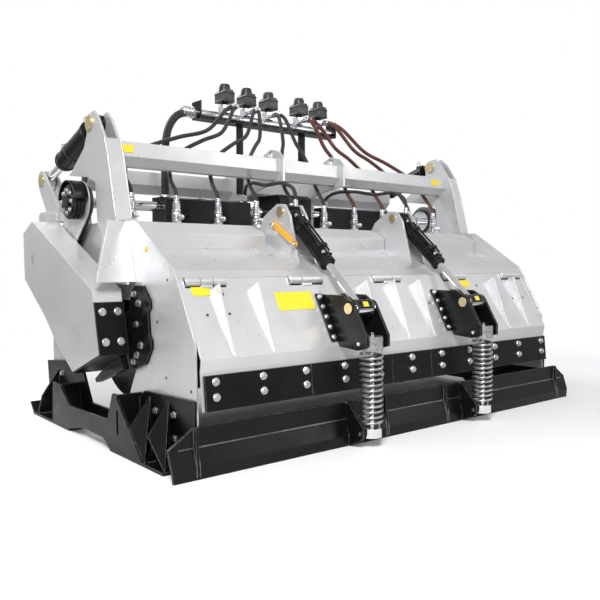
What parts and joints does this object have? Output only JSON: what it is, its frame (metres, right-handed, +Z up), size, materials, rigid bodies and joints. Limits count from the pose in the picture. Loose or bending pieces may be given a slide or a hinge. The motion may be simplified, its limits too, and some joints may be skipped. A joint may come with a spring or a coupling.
{
  "type": "tractor soil stabilizer",
  "caption": "Rear-mounted soil stabilizer: steel hood on skids, toothed rotor in swinging side cases, sprung levelling blade on a hydraulic rear door, water nozzles on the deck.",
  "frame": {"origin": "on the ground under the middle of the machine's box", "axes": "+X to the machine's right seen from the rear, +Y forward to the tractor, +Z up"},
  "size_m": [2.74, 2.046, 1.7746],
  "materials": {
    "grey_paint": "light silver-grey machine paint",
    "black_paint": "satin black paint",
    "zinc": "bright zinc plate",
    "chrome": "hard chrome",
    "yellow_zinc": "yellow zinc plate",
    "orange_paint": "orange-yellow paint",
    "rubber": "black hose and belt rubber",
    "tool_steel": "dark forged tool steel",
    "gear_steel": "oiled gear steel",
    "black_plastic": "black moulded plastic"
  },
  "bodies": {
    "root": {"left_side_panel": "grey_paint", "right_side_panel": "grey_paint", "hood_shell": "grey_paint", "hood_beams": "grey_paint", "left_upright": "grey_paint", "right_upright": "grey_paint", "rear_crossbar": "grey_paint", "front_crossbar": "grey_paint", "slot_guards": "black_paint", "left_skid": "black_paint", "right_skid": "black_paint", "frame_bolts": "zinc", "hitch_frame": "grey_paint", "hitch_pins": "yellow_zinc", "gearbox_housing": "black_paint", "drive_guards": "black_paint", "drive_belts": "rubber", "belt_covers": "grey_paint", "pivot_axles": "zinc", "cylinder_pins": "yellow_zinc", "door_hinge_pins": "zinc", "cylinder_brackets": "grey_paint", "valve_rack": "black_paint", "water_manifold": "zinc", "valve_bodies": "zinc", "valve_drives": "black_plastic", "nozzle_fittings": "zinc", "water_hoses": "rubber", "feed_hoses": "rubber"},
    "lock_lever": {"bracket_lever": "orange_paint"},
    "pto": {"pto_shaft": "chrome"},
    "cross_drive": {"cross_shafts": "chrome", "torque_limiters": "black_paint"},
    "swing_arm": {"left_drive_case": "grey_paint", "right_drive_case": "grey_paint", "case_covers": "black_paint", "case_bolts": "zinc", "arm_levers": "grey_paint", "arm_pins": "yellow_zinc"},
    "input_drive": {"input_gears": "gear_steel"},
    "upper_idler": {"upper_idlers": "gear_steel"},
    "lower_idler": {"lower_idlers": "gear_steel"},
    "rotor": {"rotor_drum": "black_paint", "rotor_stubs": "gear_steel", "rotor_gears": "gear_steel", "tooth_holders": "tool_steel", "rotor_teeth": "tool_steel"},
    "lift_barrel": {"lift_barrels": "black_paint"},
    "lift_rod": {"lift_rods": "chrome"},
    "door": {"rear_door": "grey_paint", "wear_plates": "black_paint", "wear_bolts": "zinc", "spring_brackets": "black_paint", "upper_cups": "zinc", "rod_pins": "yellow_zinc"},
    "door_barrel": {"door_barrels": "black_paint"},
    "door_rod": {"door_rods": "chrome"},
    "blade": {"levelling_blade": "black_paint", "guide_rods": "chrome", "left_spring": "zinc", "right_spring": "zinc"}
  },
  "joints": [
    {"name": "arm_swing", "type": "hinge", "parent": "root", "child": "swing_arm", "pos_m": [0, 0.43, 0.82], "axis": [1, 0, 0], "range_deg": [0, 20]},
    {"name": "rotor_spin", "type": "hinge", "parent": "swing_arm", "child": "rotor", "pos_m": [0, -0.1, 0.47], "axis": [1, 0, 0], "continuous": true},
    {"name": "lower_idler_spin", "type": "hinge", "parent": "swing_arm", "child": "lower_idler", "pos_m": [0, 0.07667, 0.58667], "axis": [1, 0, 0], "continuous": true},
    {"name": "upper_idler_spin", "type": "hinge", "parent": "swing_arm", "child": "upper_idler", "pos_m": [0, 0.25333, 0.70333], "axis": [1, 0, 0], "continuous": true},
    {"name": "input_spin", "type": "hinge", "parent": "swing_arm", "child": "input_drive", "pos_m": [0, 0.43, 0.82], "axis": [1, 0, 0], "continuous": true},
    {"name": "cross_spin", "type": "hinge", "parent": "root", "child": "cross_drive", "pos_m": [0, 0.15, 1.09], "axis": [1, 0, 0], "continuous": true},
    {"name": "pto_spin", "type": "hinge", "parent": "root", "child": "pto", "pos_m": [0, 0.15, 1.09], "axis": [0, 1, 0], "continuous": true},
    {"name": "lift_tilt", "type": "hinge", "parent": "root", "child": "lift_barrel", "pos_m": [0, 0.03, 1.445], "axis": [1, 0, 0], "range_deg": [0, 1.2]},
    {"name": "lift_stroke", "type": "slide", "parent": "lift_barrel", "child": "lift_rod", "axis": [0, -0.9523, 0.305], "range_m": [0, 0.1678]},
    {"name": "door_swing", "type": "hinge", "parent": "root", "child": "door", "pos_m": [0, -0.674, 0.727], "axis": [-1, 0, 0], "range_deg": [0, 45]},
    {"name": "door_tilt", "type": "hinge", "parent": "root", "child": "door_barrel", "pos_m": [0, -0.4, 1.05], "axis": [-1, 0, 0], "range_deg": [0, 16.07]},
    {"name": "door_stroke", "type": "slide", "parent": "door_barrel", "child": "door_rod", "axis": [0, 0.7463, 0.6657], "range_m": [0, 0.09189]},
    {"name": "blade_lift", "type": "slide", "parent": "door", "child": "blade", "axis": [0, 0, 1], "range_m": [0, 0.07], "deforming": ["left_spring", "right_spring"]},
    {"name": "lever_turn", "type": "hinge", "parent": "root", "child": "lock_lever", "pos_m": [-0.462, -0.36, 0.99], "axis": [-1, 0, 0], "range_deg": [0, 50]}
  ],
  "couplings": [
    {"joint": "lower_idler_spin", "follows": "rotor_spin", "ratio": -1},
    {"joint": "upper_idler_spin", "follows": "rotor_spin", "ratio": 1},
    {"joint": "input_spin", "follows": "rotor_spin", "ratio": -1},
    {"joint": "cross_spin", "follows": "rotor_spin", "ratio": -1},
    {"joint": "pto_spin", "follows": "rotor_spin", "ratio": 1},
    {"joint": "lift_tilt", "follows": "arm_swing", "ratio": 0.06},
    {"joint": "lift_stroke", "follows": "arm_swing", "m_per_rad": 0.4807},
    {"joint": "door_tilt", "follows": "door_swing", "ratio": 0.357},
    {"joint": "door_stroke", "follows": "door_swing", "m_per_rad": 0.117}
  ]
}
